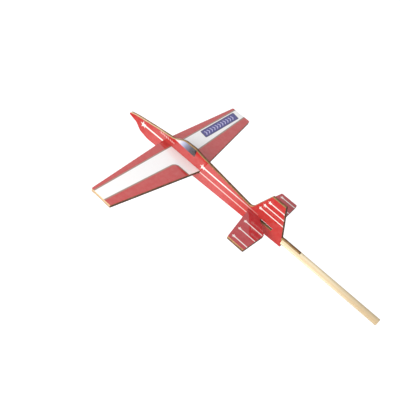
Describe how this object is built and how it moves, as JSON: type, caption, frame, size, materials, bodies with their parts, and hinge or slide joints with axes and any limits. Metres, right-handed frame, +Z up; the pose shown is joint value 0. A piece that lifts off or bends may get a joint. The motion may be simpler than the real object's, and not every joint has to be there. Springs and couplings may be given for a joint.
{
  "type": "sheet wood stunt aeroplane on a stick",
  "caption": "Flat sheet-wood aerobatic aeroplane with printed gloss film, its one-piece wing and tailplane slotted through the fuselage, on a round dowel handle.",
  "frame": {"origin": "centre of the handle's flat butt end, where a hand or a stand holds the part", "axes": "+X along the handle towards the nose, +Y to the aeroplane's left wing tip, +Z up out of the wing's top face"},
  "size_m": [0.2853, 0.1906, 0.045],
  "materials": {
    "handle_dowel": "sanded, uncoated",
    "fuselage_board": "laser-cut edges, darkened by the beam",
    "fuselage_film_left": "gloss, printed red and white",
    "fuselage_film_right": "gloss, printed red and white",
    "wing_board": "laser-cut edges, darkened by the beam",
    "wing_film_top": "gloss, printed red and white",
    "wing_film_bottom": "gloss, printed red and white",
    "tailplane_board": "laser-cut edges, darkened by the beam",
    "tailplane_film_top": "gloss, printed red and white",
    "tailplane_film_bottom": "gloss, printed red and white"
  },
  "bodies": {
    "handle": {"handle_dowel": "handle_dowel"},
    "fuselage": {"fuselage_board": "fuselage_board", "fuselage_film_left": "fuselage_film_left", "fuselage_film_right": "fuselage_film_right"},
    "wing": {"wing_board": "wing_board", "wing_film_top": "wing_film_top", "wing_film_bottom": "wing_film_bottom"},
    "tailplane": {"tailplane_board": "tailplane_board", "tailplane_film_top": "tailplane_film_top", "tailplane_film_bottom": "tailplane_film_bottom"}
  },
  "joints": [
    {"name": "fuselage_slide", "type": "slide", "parent": "handle", "child": "fuselage", "axis": [1, 0, 0], "range_m": [0, 0.019]},
    {"name": "wing_slide", "type": "slide", "parent": "fuselage", "child": "wing", "axis": [0, 1, 0], "range_m": [-0.097, 0.097]},
    {"name": "tailplane_slide", "type": "slide", "parent": "fuselage", "child": "tailplane", "axis": [0, 1, 0], "range_m": [-0.042, 0.042]}
  ]
}
